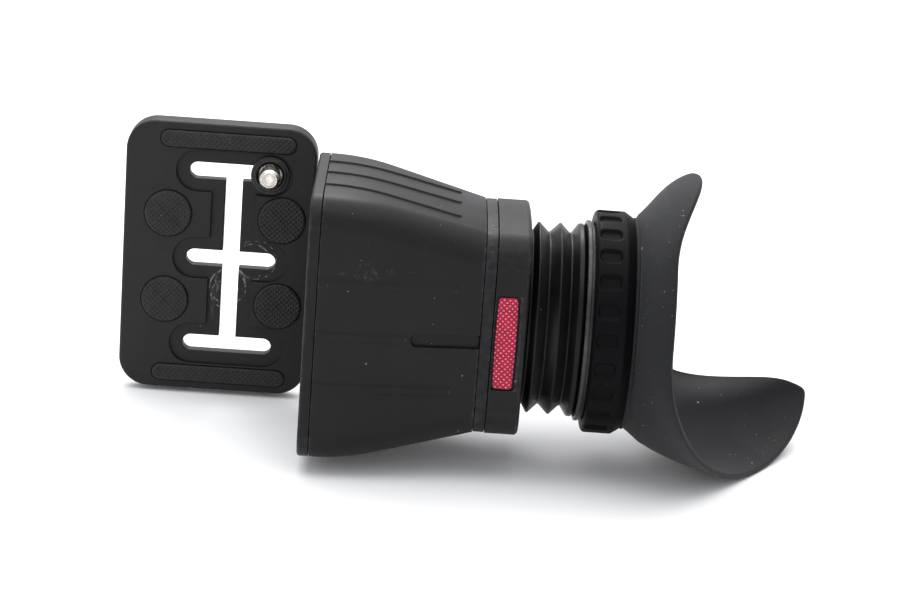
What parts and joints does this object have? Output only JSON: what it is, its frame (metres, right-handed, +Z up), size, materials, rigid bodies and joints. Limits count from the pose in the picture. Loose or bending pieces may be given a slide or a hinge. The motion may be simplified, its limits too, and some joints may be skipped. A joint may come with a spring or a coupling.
{
  "type": "camera screen finder",
  "caption": "Clip-on optical finder for a camera screen: slotted camera plate on a fold hinge, tapered hood, focusing magnifier in a bellows and a winged rubber eyecup.",
  "frame": {"origin": "on the table, under the middle of the bounding box, the finder lying on its side", "axes": "+X along the optical axis from the camera's screen towards the eye, +Y down in use (away from the side that faces the viewer), +Z up from the table"},
  "size_m": [0.2158, 0.0907, 0.0907],
  "materials": {
    "plate_black": "fine matte black",
    "hood_plastic": "soft matte black, faint sheen",
    "pad_rubber": "matte, fine diamond grip",
    "gasket_foam": "matte foam",
    "liner_black": "dead matte, anti-reflection",
    "bellows_rubber": "smooth, slightly glossy",
    "eyecup_rubber": "soft matte rubber with dust",
    "grip_rubber": "matte grip",
    "satin_ring": "satin dark metal",
    "woven_crimson": "woven nylon with pale dots",
    "steel": "bright plated steel",
    "magnet": "nickel plated",
    "washer_black": "black",
    "lens_glass": "coated optical glass"
  },
  "bodies": {
    "plate": {"base_plate": "plate_black", "pad_round_1": "pad_rubber", "pad_round_2": "pad_rubber", "pad_round_3": "pad_rubber", "pad_round_4": "pad_rubber", "pad_long_top": "pad_rubber", "pad_long_bottom": "pad_rubber", "hinge_leaf": "plate_black", "hinge_screw_1": "steel", "hinge_screw_2": "steel", "hinge_pin": "steel"},
    "washer": {"screw_washer": "washer_black"},
    "screw": {"camera_screw": "steel"},
    "frame": {"front_frame": "hood_plastic", "frame_gasket": "gasket_foam", "frame_magnet_1": "magnet", "frame_magnet_2": "magnet", "frame_magnet_3": "magnet", "frame_magnet_4": "magnet"},
    "hood": {"housing": "hood_plastic", "hood_liner": "liner_black", "hood_magnet_1": "magnet", "hood_magnet_2": "magnet", "hood_magnet_3": "magnet", "hood_magnet_4": "magnet", "collar_band": "hood_plastic", "rear_collar": "hood_plastic", "tag_near": "woven_crimson", "tag_far": "woven_crimson", "collar_screw_1": "washer_black", "collar_screw_2": "washer_black", "collar_screw_3": "washer_black", "collar_screw_4": "washer_black", "focus_guide": "liner_black", "bellows": "bellows_rubber"},
    "eyepiece": {"lens_carrier": "liner_black", "lens_front": "lens_glass", "lens_spacer": "liner_black", "lens_rear": "lens_glass", "lens_retainer": "liner_black", "flange_ring": "satin_ring"},
    "focus_ring": {"focus_ring": "grip_rubber"},
    "eyecup": {"eyecup": "eyecup_rubber"}
  },
  "joints": [
    {"name": "screw_slide", "type": "slide", "parent": "plate", "child": "washer", "axis": [-1, 0, 0], "range_m": [0, 0.0223]},
    {"name": "screw_turn", "type": "hinge", "parent": "washer", "child": "screw", "pos_m": [-0.0635, 0.0385, 0.0721], "axis": [0, 1, 0], "continuous": true},
    {"name": "plate_fold", "type": "hinge", "parent": "plate", "child": "frame", "pos_m": [-0.0482, 0.0328, 0.0442], "axis": [0, 0, -1], "range_deg": [0, 90]},
    {"name": "hood_release", "type": "slide", "parent": "frame", "child": "hood", "axis": [1, 0, 0], "range_m": [0, 0.012]},
    {"name": "focus_slide", "type": "slide", "parent": "hood", "child": "eyepiece", "axis": [1, 0, 0], "range_m": [-0.004, 0.004], "deforming": ["bellows"]},
    {"name": "focus_turn", "type": "hinge", "parent": "eyepiece", "child": "focus_ring", "pos_m": [0.0403, -0.0015, 0.0442], "axis": [1, 0, 0], "range_deg": [-120, 120]},
    {"name": "eyecup_turn", "type": "hinge", "parent": "eyepiece", "child": "eyecup", "pos_m": [0.0478, -0.0015, 0.0442], "axis": [1, 0, 0], "continuous": true}
  ],
  "couplings": [
    {"joint": "focus_slide", "follows": "focus_turn", "m_per_rad": 0.0019099}
  ]
}
